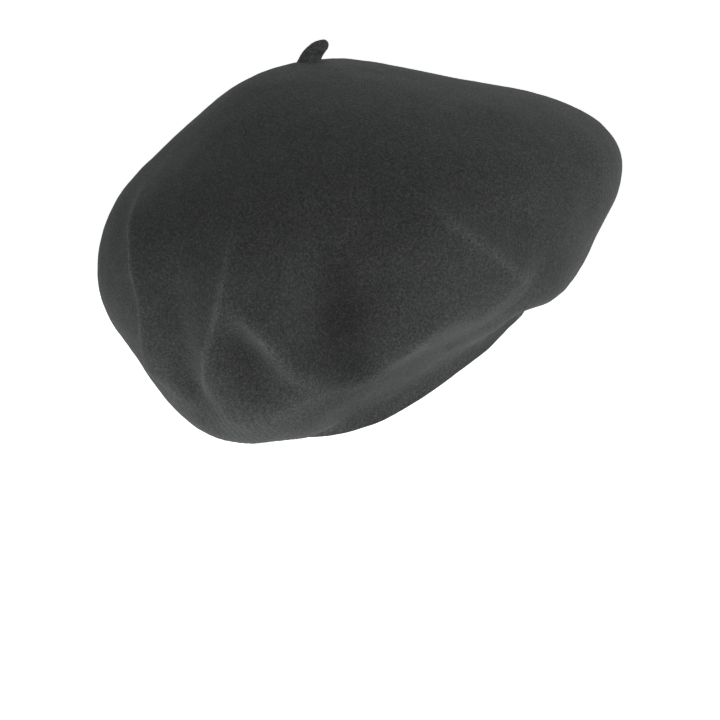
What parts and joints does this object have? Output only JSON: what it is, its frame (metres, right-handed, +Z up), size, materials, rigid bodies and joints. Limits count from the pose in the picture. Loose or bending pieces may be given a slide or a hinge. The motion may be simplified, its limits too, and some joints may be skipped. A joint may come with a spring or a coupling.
{
  "type": "beret",
  "caption": "Large slouchy wool felt beret as worn, with a short felt stalk, ribbon sweatband and bow, satin lining and blank label.",
  "frame": {"origin": "centre of the head opening, on the plane of the felt edge", "axes": "+Z up when the hat is worn on an upright head, -Y the wearer's front, -X the wearer's right ear; the opening slopes down towards the back and the left ear"},
  "size_m": [0.2609, 0.2784, 0.2093],
  "materials": {
    "wool_felt": "matt fulled wool felt, charcoal",
    "stalk_felt": "dense wool felt, charcoal",
    "grosgrain": "ribbed black ribbon",
    "elastic": "woven elastic tape, black",
    "satin": "satin lining, black",
    "bow_ribbon": "narrow black ribbon",
    "label_weave": "blank woven label, off white",
    "thread": "twisted sewing thread, charcoal"
  },
  "bodies": {
    "cap": {"felt_body": "wool_felt", "stalk_tacks": "thread", "sweatband": "grosgrain", "rim_elastic": "elastic", "lining_side": "satin", "lining_tip": "satin", "label": "label_weave", "bow_loops": "bow_ribbon", "bow_tails": "bow_ribbon", "bow_knot": "bow_ribbon", "band_hem_stitches": "thread", "band_top_stitches": "thread", "band_seam_stitches": "thread", "lining_seam_stitches": "thread", "label_stitches": "thread"},
    "stalk": {"stalk": "stalk_felt"}
  },
  "joints": [
    {"name": "stalk_bend", "type": "hinge", "parent": "cap", "child": "stalk", "pos_m": [0.024, 0.025, 0.1676], "axis": [-0.7986, 0.6018, 0], "range_deg": [-25, 75], "stiffness_Nm_per_rad": 0.002}
  ]
}
